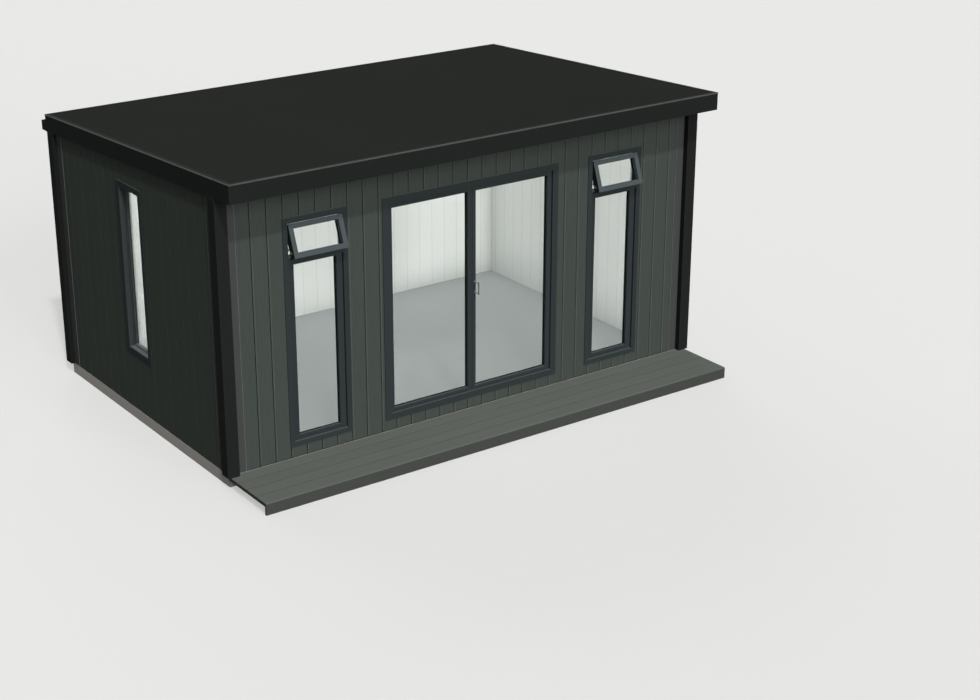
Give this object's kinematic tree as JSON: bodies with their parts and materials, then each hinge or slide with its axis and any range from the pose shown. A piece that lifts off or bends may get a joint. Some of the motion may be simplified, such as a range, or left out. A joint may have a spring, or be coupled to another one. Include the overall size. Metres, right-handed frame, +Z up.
{
  "type": "garden office pod",
  "caption": "Small flat-roofed garden office with grey upright cladding, a glazed double door between tall windows with open top vents, and a low step along the front.",
  "frame": {"origin": "on the ground under the middle of the whole pod, its step and its gutter", "axes": "+Z up, +X to the right along the glazed front, -Y out of the front"},
  "size_m": [5.11, 3.93, 2.74],
  "materials": {
    "plinth_concrete": "pale grey cast concrete",
    "structural_timber": "treated softwood",
    "floor_covering": "smooth grey floor covering",
    "insulated_panel": "timber-faced insulated panel",
    "grey_cladding": "matt grey upright boards with V joints",
    "white_lining": "satin white lining boards",
    "black_trim": "satin black powder coat",
    "roof_rubber": "matt black roofing membrane",
    "edge_metal": "dull metal edge trim",
    "anthracite_frame": "anthracite powder coat",
    "window_glass": "clear double glazing",
    "satin_steel": "satin steel",
    "step_composite": "grey composite decking"
  },
  "bodies": {
    "pod": {"back_cladding": "grey_cladding", "back_fascia": "black_trim", "back_wall": "insulated_panel", "ceiling": "white_lining", "corner_post_back_left": "black_trim", "corner_post_back_right": "black_trim", "corner_post_front_left": "black_trim", "corner_post_front_right": "black_trim", "door_frame": "anthracite_frame", "door_hinges": "satin_steel", "floor_finish": "floor_covering", "floor_joists": "structural_timber", "floor_panel": "structural_timber", "front_cladding": "grey_cladding", "front_fascia": "black_trim", "front_wall_left": "insulated_panel", "front_wall_over_door": "insulated_panel", "front_wall_right": "insulated_panel", "front_wall_under_door": "insulated_panel", "front_window_frames": "anthracite_frame", "front_window_glass": "window_glass", "gutter": "black_trim", "left_cladding": "grey_cladding", "left_wall": "insulated_panel", "plinth": "plinth_concrete", "right_cladding": "grey_cladding", "right_wall": "insulated_panel", "roof_edge_trim": "edge_metal", "roof_membrane": "roof_rubber", "roof_panel": "insulated_panel", "side_fascias": "black_trim", "side_window_frame": "anthracite_frame", "side_window_glass": "window_glass", "soffit": "black_trim", "step_bearers": "structural_timber", "step_boards": "step_composite", "step_fascia": "step_composite", "vent_stays": "satin_steel", "wall_lining": "white_lining", "window_vents": "anthracite_frame"},
    "door_left": {"door_left_leaf": "anthracite_frame", "door_left_glass": "window_glass"},
    "door_right": {"door_right_leaf": "anthracite_frame", "door_right_glass": "window_glass", "door_handles": "satin_steel"}
  },
  "joints": [
    {"name": "left_leaf_swing", "type": "hinge", "parent": "pod", "child": "door_left", "pos_m": [-0.888, -1.257, 1.262], "axis": [0, 0, 1], "range_deg": [0, 90]},
    {"name": "right_leaf_swing", "type": "hinge", "parent": "pod", "child": "door_right", "pos_m": [0.888, -1.257, 1.262], "axis": [0, 0, -1], "range_deg": [0, 90]}
  ]
}
